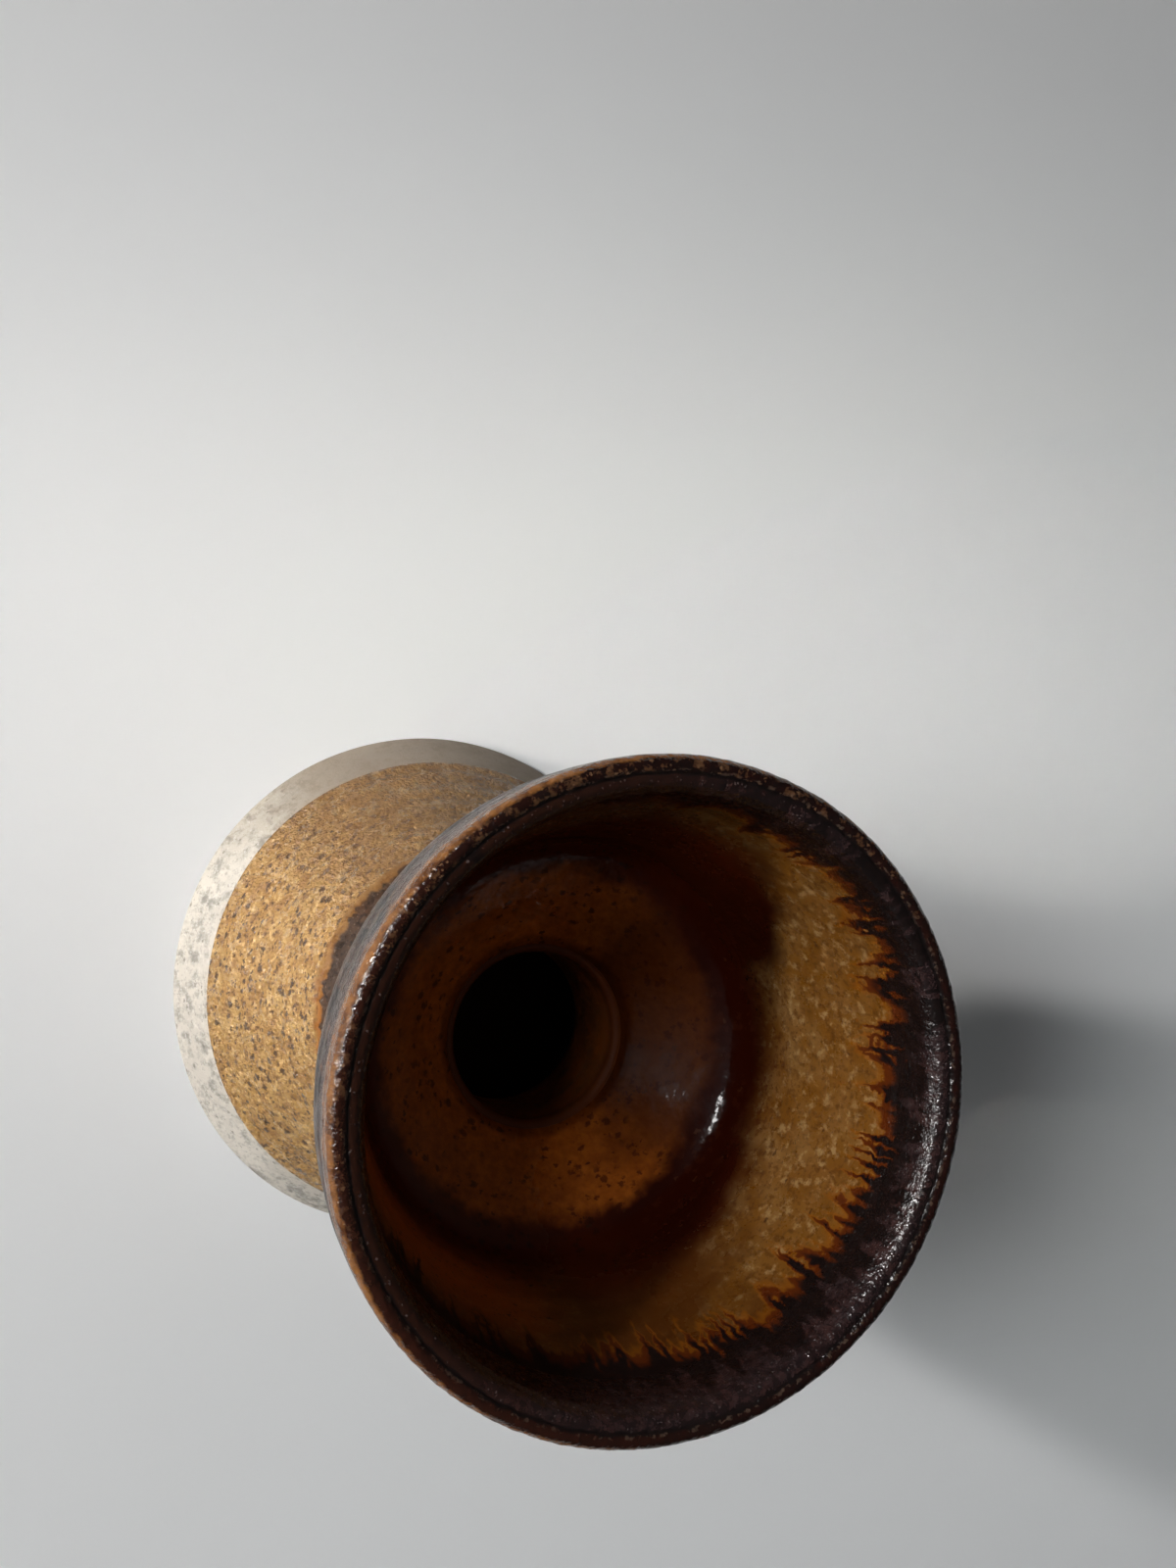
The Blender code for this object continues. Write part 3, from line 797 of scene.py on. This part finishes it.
def amber_floor(g):
    """Colour of the bowl's floor, mottled, with painted shade on one side and pooled glaze darkened by
    painted shade round the throat.
    """
    c = colours()
    s = sizes()
    t = g.t
    base = g.over(c.amber, FLOOR_CLOUD, g.cloud(6.0 * MM), 0.8)
    base = g.over(base, FLOOR_MOTTLE, g.cloud(1.8 * MM), 0.5)
    # Painted shade darkens the floor on the side away from the lamps.
    base = g.over(base, FLOOR_PAINTED_SHADE, g.side(SHADED_FLOOR_SIDE, 0.15, 0.85), 0.92)
    # Pooled glaze with painted shade in the groove round the throat's edge.
    near = t.math("ADD", g.radius, t.swing(t.noise(g.position, 12.0 * MM, 2.0), 1.6 * MM))
    pool_and_shade_ring = t.fall(near, s.throat_radius + 2.2 * MM, s.throat_radius + 3.4 * MM)
    return g.over(base, c.pool, pool_and_shade_ring, 0.45)


def bowl_colour(g):
    """Colour of the bowl's lining by height, with painted shade, shadow and bounce light on some sides, and
    the height above its ragged dark edge.
    """
    c = colours()
    t = g.t
    corner = sizes().corner_height
    low = t.fall(g.height, corner + 8.0 * MM, corner + 32.0 * MM)
    pale = t.product(g.cloud(6.0 * MM), t.linear(low, 0.6, 0.4))
    wall = g.over(c.honey, c.honey_pale, pale)
    wall = g.over(wall, WALL_CLOUD, g.cloud(3.0 * MM), 0.45)
    grains = g.patches(1.5 * MM, 4.0, 0.65, 0.48, 0.64)
    wall = g.over(wall, WALL_GRAIN, grains, 0.75)
    cream = g.patches(2.2 * MM, 4.0, 0.65, 0.52, 0.68)
    wall = g.over(wall, WALL_CREAM, cream, 0.65)
    deep = t.fall(g.height, corner + 20.0 * MM, corner + 38.0 * MM)
    # Painted bounce light: the lower wall on the bowl's shaded side is painted brighter and redder.
    wall = g.over(wall, WALL_RED_BOUNCE, t.product(deep, g.side(RED_BOUNCE_SIDE, 0.10, 0.7)), 0.9)
    # Painted shade on the side of the wall that the lamps' light does not reach.
    wall = g.over(wall, WALL_PAINTED_SHADE, g.side(SHADED_WALL_SIDE, 0.83, 0.975), 0.92)
    wall = g.over(wall, WALL_SPECK, g.specks(1.0 * MM, 0.4, 0.45), 0.6)
    level = t.total(
        g.height, t.swing(t.noise(g.position, 13.0 * MM, 3.0), 3.2 * MM),
        t.swing(t.noise(g.position, 3.0 * MM, 3.0), 0.9 * MM))
    # The pooled glaze is painted darker on the side the lamps fall on, and brighter and redder on its shaded
    # side, as painted light and shade.
    pool = g.over(POOL_LIFTED_IN_SHADE, c.pool, g.side(LIT_POOL_SIDE, 0.1, 0.8))
    base = g.over(amber_floor(g), pool, t.rise(level, corner - 5.5 * MM, corner - 2.0 * MM))
    # Painted shadow: on two sides the dark pool colour is carried up the wall where the rim's shadow falls.
    level = t.linear(g.side(RIM_SHADOW_SIDE, 0.72, 0.98), -19.0 * MM, level)
    level = t.linear(g.side(RIM_SHADOW_OTHER_SIDE, 0.78, 0.98), -6.0 * MM, level)
    base = g.over(base, wall, t.rise(level, corner + 2.0 * MM, corner + 18.0 * MM))
    clump = g.patches(7.0 * MM, 2.0, 0.5, 0.36, 0.56)
    spots = t.product(g.specks(2.3 * MM, 0.85, 0.60), clump)
    spots = t.product(spots, t.fall(g.height, corner + 2.0 * MM, corner + 24.0 * MM))
    base = g.over(base, BOWL_SPOT, spots, 0.7)
    base = g.over(base, BOWL_SPECK, g.specks(2.9 * MM, 0.30, 0.28), 0.8)
    run = g.drips(RIM_INSIDE + 0.6 * MM, 9.5 * MM, 2.6 * MM)
    run = t.linear(g.side(LONG_DRIP_SIDE, 0.35, 0.95), 6.0 * MM, run)
    run = t.linear(g.side(SHORT_DRIP_SIDE, 0.72, 0.97), -4.5 * MM, run)
    base = g.over(base, RUN_GLOW, t.rise(run, -4.5 * MM, -1.2 * MM), 0.75)
    base = g.over(base, RUN_RED, t.rise(run, -1.6 * MM, -0.2 * MM))
    dark = g.over(c.black, RUN_CLOUD, g.cloud(1.8 * MM), 0.6)
    return g.over(base, dark, t.rise(run, 0.6 * MM, 4.0 * MM)), run


def amber_glaze():
    """Glossy lining of the bowl."""
    g = Glaze("amber_glaze")
    base, _ = bowl_colour(g)
    t = g.t
    corner = sizes().corner_height
    satin = t.product(t.rise(g.height, corner + 4.0 * MM, corner + 14.0 * MM), 0.16)
    dull = t.product(g.side(BROWN_SIDE, 0.0, 0.7), 0.25)
    rough = t.total(satin, dull, t.linear(g.cloud(7.0 * MM), 0.08, 0.08))
    return g.finish(base, rough, g.peel(3.2 * MM), 0.16 * MM, 0.25)


def rim_glaze():
    """Doubled glaze of the lip: rusty outside, red-brown bead, black groove, and an inner face that is purple
    on its lit side, partly as painted sheen, and brown on its shaded side.
    """
    g = Glaze("rim_glaze")
    c = colours()
    s = sizes()
    t = g.t
    inside, run = bowl_colour(g)
    edge = s.mouth_radius
    face = g.over(c.purple, FACE_CLOUD, g.cloud(5.0 * MM), 0.5)
    face = g.over(face, FACE_MOTTLE, g.cloud(1.6 * MM), 0.85)
    # The inner face is purple where the lamps fall on it, glaze colour with painted sheen, and brown in
    # shade.
    face = g.over(FACE_BROWN, face, g.side(PURPLE_SHEEN_SIDE, -0.7, 0.2))
    face = g.over(face, FACE_SPECK, g.specks(0.7 * MM, 0.30, 0.42), 0.5)
    patchy = t.math("ADD", run, t.swing(t.noise(g.position, 2.4 * MM, 4.0, 0.65), 3.0 * MM))
    inside = g.over(inside, face, t.rise(patchy, 10.5 * MM, 13.5 * MM))
    bead = g.over(c.red_brown, c.black, g.cloud(3.0 * MM), 0.7)
    bead = g.over(bead, BEAD_BROWN, g.side(BROWN_SIDE, 0.0, 0.8), 0.7)
    worn = g.side(WORN_SIDE, -0.2, 0.7)
    grit = t.product(g.specks(1.1 * MM, 0.40, 0.45), worn)
    bead = g.over(bead, BEAD_GRIT, grit, 0.7)
    rub = t.product(g.patches(2.0 * MM, 4.0, 0.65, 0.50, 0.66), worn)
    bead = g.over(bead, BEAD_RUB, rub, 0.8)
    across = t.math("ADD", g.radius, t.swing(t.noise(g.position, 2.2 * MM, 3.0, 0.6), 0.7 * MM))
    base = g.over(inside, bead, t.rise(across, edge - 2.8 * MM, edge - 2.2 * MM))
    off_groove = t.math("ABSOLUTE", t.math("SUBTRACT", across, edge - 2.5 * MM))
    base = g.over(base, c.black, t.fall(off_groove, 0.1 * MM, 0.6 * MM), 0.9)
    off_line = t.math("ABSOLUTE", t.math("SUBTRACT", across, edge - 2.0 * MM))
    grains = g.patches(1.2 * MM, 3.0, 0.6, 0.50, 0.62)
    crystals = t.product(t.fall(off_line, 0.0, 0.5 * MM), grains)
    base = g.over(base, CRYSTAL, crystals, 0.4)
    skin = g.over(c.black, SKIN_BROWN, g.cloud(4.0 * MM))
    thin = g.over(SKIN_RUST, SKIN_DARK_RUST, g.cloud(2.4 * MM))
    skin = g.over(skin, thin, t.rise(g.drips(s.crest_height - 4.0 * MM, 3.0 * MM), -1.2 * MM, 1.2 * MM))
    base = g.over(base, skin, t.rise(across, edge - 0.3 * MM, edge + 0.3 * MM))
    satin = t.product(t.fall(across, edge - 6.6 * MM, edge - 5.2 * MM), 0.12)
    rough = t.math("ADD", satin, t.linear(g.cloud(3.0 * MM), 0.10, 0.10))
    grain = t.noise(g.position, 0.6 * MM, 2.0, 0.55)
    return g.finish(base, rough, t.linear(grain, 0.5, g.peel(1.4 * MM)), 0.36 * MM, 0.5)


def liner_glaze():
    """Thin half-matte glaze, darker at the throat's edge than down the throat, with painted shade making it
    near black deep in the chamber.
    """
    g = Glaze("liner_glaze")
    c = colours()
    t = g.t
    top = sizes().throat_top
    base = g.over(c.liner, LINER_CLOUD, g.cloud(7.0 * MM))
    base = g.over(base, LINER_SPECK, g.specks(1.9 * MM, 0.4, 0.4), 0.6)
    base = g.over(base, LINER_EDGE, t.rise(g.height, top - 2.0 * MM, top - 0.2 * MM))
    deep = sizes().throat_bottom
    # Painted shade deep in the chamber, where little light reaches.
    base = g.over(base, LINER_PAINTED_SHADE, t.fall(g.height, deep - 12.0 * MM, deep - 4.0 * MM), 0.95)
    return g.finish(base, 0.45, g.peel(2.0 * MM), 0.12 * MM, 0.35)


def floor_paint():
    """Plain pale floor with a faint unevenness."""
    g = Glaze("stage_floor")
    c = colours()
    base = g.over(c.stage, STAGE_CLOUD, g.cloud(0.4))
    return g.finish(base, 0.6, g.t.noise(g.position, 1.5 * MM, 2.0), 0.02 * MM)


def placed(piece, node):
    """Puts a finished piece on the body and hides the solid that it stands in for."""
    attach(piece, BODY)
    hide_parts(node)


def even(thickness):
    """Coat of one thickness from end to end."""
    return lambda run: np.full(len(run), thickness)


def rolled(thickness, roll=1.2 * MM):
    """Coat that thins away at its first edge, with a fatter roll just behind."""
    def at(run):
        near = np.clip((run + 0.02 * MM) / roll, 0.0, 1.0)
        fat = 1.0 + 0.35 * np.exp(-((run - 1.5 * roll) / roll) ** 2)
        return thickness * np.sqrt(1.0 - (1.0 - near) ** 2) * fat
    return at


def gathered(thickness, bead=0.25 * MM, fade=6.0 * MM):
    """Coat that has run down and is thickest at its first edge."""
    return lambda run: thickness + bead * np.exp(-run / fade)


class VASE_OT_lower_body(bpy.types.Operator):
    """Bare clay of the foot, the cone and the spigot"""

    bl_idname = "vase.lower_body"
    bl_label = "Lower body"

    def execute(self, context):
        s = sizes()
        line = Outline()
        top = line.outside(COIL_BOTTOM)
        outer = line.points[:top + 1]
        outward = line.outward[:top + 1]
        notch = s.neck_radius - COIL_DEPTH
        spigot = s.throat_radius + SPIGOT_WALL
        stretches = [
            plain([(0.0, s.recess), (s.foot_ring - s.recess, s.recess)]),
            (outer, outward, relief_at(outer, outward)),
            plain([(notch, COIL_BOTTOM), (notch, SEAT), (spigot, SEAT), (spigot, s.throat_top)]),
            plain(line.points[line.inside(s.throat_top):]),
        ]
        piece = turned_piece("lower_body_clay", stretches, stoneware(), s.clay_segments)
        placed(piece, "lower_body")
        return {"FINISHED"}


class VASE_OT_bowl_clay(bpy.types.Operator):
    """Clay of the bowl, the joining slip and the waist coil, which the glaze hides"""

    bl_idname = "vase.bowl_clay"
    bl_label = "Bowl clay"

    def execute(self, context):
        s = sizes()
        line = Outline()
        material = plain_clay()
        notch = s.neck_radius - COIL_DEPTH
        hole = s.throat_radius + SPIGOT_WALL + JOINT
        shell = line.points[line.outside(COIL_TOP):line.within(hole) + 1]
        under = [(hole, BOWL_BASE), (notch, BOWL_BASE), (notch, COIL_TOP)]
        stretches = [plain(shell), plain(under), plain(shell[:1])]
        piece = turned_piece("bowl_clay", stretches, material, s.clay_segments)
        placed(piece, "upper_bowl")
        for node in ("joint_slip", "waist_coil"):
            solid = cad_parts[node]
            solid.data.materials.clear()
            solid.data.materials.append(material)
        return {"FINISHED"}


class VASE_OT_cone_glaze(bpy.types.Operator):
    """Speckled glaze on the cone, rolled at its lower edge"""

    bl_idname = "vase.cone_glaze"
    bl_label = "Cone glaze"

    def execute(self, context):
        line = Outline()
        s = sizes()
        piece = coat(
            "cone_speckled_glaze", line.outside(s.band_height), line.outside(DARK_LINE), rolled(s.glaze),
            speckled_glaze())
        placed(piece, "cone_glaze")
        return {"FINISHED"}


class VASE_OT_dark_glaze(bpy.types.Operator):
    """Dark glaze over the waist and the bowl's outside"""

    bl_idname = "vase.dark_glaze"
    bl_label = "Dark glaze"

    def execute(self, context):
        line = Outline()
        piece = coat(
            "dark_dipped_glaze", line.outside(DARK_LINE), line.outside(RIM_OUTSIDE), gathered(sizes().glaze),
            dark_glaze())
        placed(piece, "dark_glaze")
        return {"FINISHED"}


class VASE_OT_rim_glaze(bpy.types.Operator):
    """Doubled glaze over the lip"""

    bl_idname = "vase.rim_glaze"
    bl_label = "Rim glaze"

    def execute(self, context):
        line = Outline()
        thick = even(sizes().glaze)
        start, end = line.outside(RIM_OUTSIDE), line.inside(RIM_INSIDE)
        piece = coat("rim_run_glaze", start, end, thick, rim_glaze(), sizes().rim_segments)
        placed(piece, "rim_glaze")
        return {"FINISHED"}


class VASE_OT_bowl_glaze(bpy.types.Operator):
    """Amber lining of the bowl"""

    bl_idname = "vase.bowl_glaze"
    bl_label = "Bowl glaze"

    def execute(self, context):
        line = Outline()
        s = sizes()
        start, end = line.inside(RIM_INSIDE), line.within(s.throat_radius + LINING_SEAM)
        piece = coat("bowl_amber_glaze", start, end, even(s.glaze), amber_glaze())
        placed(piece, "bowl_glaze")
        return {"FINISHED"}


class VASE_OT_throat_glaze(bpy.types.Operator):
    """Thin lining of the throat and the chamber"""

    bl_idname = "vase.throat_glaze"
    bl_label = "Throat glaze"

    def execute(self, context):
        line = Outline()
        s = sizes()
        start, end = line.within(s.throat_radius + LINING_SEAM), len(line.points) - 1
        piece = coat("throat_liner_glaze", start, end, even(s.glaze), liner_glaze(), s.clay_segments)
        placed(piece, "chamber_glaze")
        return {"FINISHED"}


class VASE_OT_stage(bpy.types.Operator):
    """Floor, lights and the camera that looks down into the bowl"""

    bl_idname = "vase.stage"
    bl_label = "Stage"

    def execute(self, context):
        scene = context.scene
        self.floor(scene)
        self.surroundings(scene)
        vase = (0.0, 0.0, 0.08)
        beside = (0.10, 0.085, 0.0)
        beyond = (0.30, -0.18, 0.0)
        self.lamp(scene, "key", (-0.859, 0.339, 0.582), vase, 0.06, 6.0, WARM)
        self.lamp(scene, "low", (-1.963, 0.0, 0.462), vase, 0.30, 5.0, WARM)
        self.lamp(scene, "beam", (-1.1, 0.12, 0.45), beside, 0.12, 0.076, GOLDEN, widening=0.12)
        side = self.lamp(scene, "side", (-1.130, 0.261, 1.181), beyond, 0.5, 0.95, COOL, widening=0.4)
        top = self.lamp(scene, "top", (-0.10, 0.05, 1.3), vase, 0.8, 0.5, COOL)
        glint = self.lamp(scene, "glint", (-0.768, 0.330, 0.72), vase, 0.15, 3.0, WARM)
        side.visible_glossy = False
        top.visible_glossy = False
        glint.visible_diffuse = False
        self.camera(scene)
        return {"FINISHED"}

    def floor(self, scene):
        half = 3.0
        mesh = bpy.data.meshes.new("floor")
        corners = [(-half, -half, 0.0), (half, -half, 0.0), (half, half, 0.0), (-half, half, 0.0)]
        mesh.from_pydata(corners, [], [(0, 1, 2, 3)])
        mesh.materials.append(floor_paint())
        floor = bpy.data.objects.new("floor", mesh)
        scene.collection.objects.link(floor)

    def surroundings(self, scene):
        """Dim room with a soft glow from the lamps' side."""
        world = bpy.data.worlds.new("Soft studio")
        world.use_nodes = True
        t = Tree(world.node_tree)
        direction = t.add("ShaderNodeTexCoord").outputs["Generated"]
        towards = t.vector("DOT_PRODUCT", direction, Vector((-0.97, 0.1, 0.2)).normalized())
        glow = t.linear(t.rise(towards, 0.5, 1.0), 0.20, 0.035)
        background = world.node_tree.nodes["Background"]
        background.inputs["Color"].default_value = (0.95, 0.98, 1.0, 1.0)
        t.feed(background.inputs["Strength"], glow)
        scene.world = world

    def lamp(self, scene, name, place, aim, size, power, tint, widening=None):
        """Square lamp turned towards its aim, with a beam that widens by a share of its length if given."""
        lamp = bpy.data.lights.new(name, "AREA")
        lamp.size = size
        lamp.energy = power
        lamp.color = tint
        if widening is not None:
            lamp.spread = 2.0 * math.atan(widening)
        holder = bpy.data.objects.new(name, lamp)
        holder.location = place
        holder.rotation_euler = (Vector(place) - Vector(aim)).to_track_quat("Z", "Y").to_euler()
        scene.collection.objects.link(holder)
        return holder

    def camera(self, scene):
        eye = Vector(EYE)
        forward = Vector(LOOK).normalized()
        right = forward.cross(Vector((0.0, 1.0, 0.0))).normalized()
        up = right.cross(forward)
        lens = bpy.data.cameras.new("camera")
        lens.lens = LENS
        lens.sensor_width = SENSOR
        lens.clip_start = NEAREST
        camera = bpy.data.objects.new("camera", lens)
        camera.matrix_world = Matrix.Translation(eye) @ Matrix((right, up, -forward)).transposed().to_4x4()
        scene.collection.objects.link(camera)
        scene.camera = camera
        scene.view_settings.view_transform = "Standard"


class VIEW3D_PT_vase(bpy.types.Panel):
    bl_label = "Hourglass vase"
    bl_idname = "VIEW3D_PT_vase"
    bl_space_type = "VIEW_3D"
    bl_region_type = "UI"
    bl_category = "Vase"

    def draw(self, context):
        for operator in OPERATORS:
            self.layout.operator(operator.bl_idname)
        for group in (context.scene.vase_sizes, context.scene.vase_colours):
            box = self.layout.box()
            for name in group.__annotations__:
                box.prop(group, name)


OPERATORS = (
    VASE_OT_lower_body,
    VASE_OT_bowl_clay,
    VASE_OT_cone_glaze,
    VASE_OT_dark_glaze,
    VASE_OT_rim_glaze,
    VASE_OT_bowl_glaze,
    VASE_OT_throat_glaze,
    VASE_OT_stage,
)
CLASSES = (VaseSizes, VaseColours, *OPERATORS, VIEW3D_PT_vase)


def register():
    for item in CLASSES:
        bpy.utils.register_class(item)
    bpy.types.Scene.vase_sizes = PointerProperty(type=VaseSizes)
    bpy.types.Scene.vase_colours = PointerProperty(type=VaseColours)


def unregister():
    del bpy.types.Scene.vase_colours
    del bpy.types.Scene.vase_sizes
    for item in reversed(CLASSES):
        bpy.utils.unregister_class(item)


def main():
    register()
    bpy.ops.vase.lower_body()
    bpy.ops.vase.bowl_clay()
    bpy.ops.vase.cone_glaze()
    bpy.ops.vase.dark_glaze()
    bpy.ops.vase.rim_glaze()
    bpy.ops.vase.bowl_glaze()
    bpy.ops.vase.throat_glaze()
    bpy.ops.vase.stage()


if __name__ == "__main__":
    main()
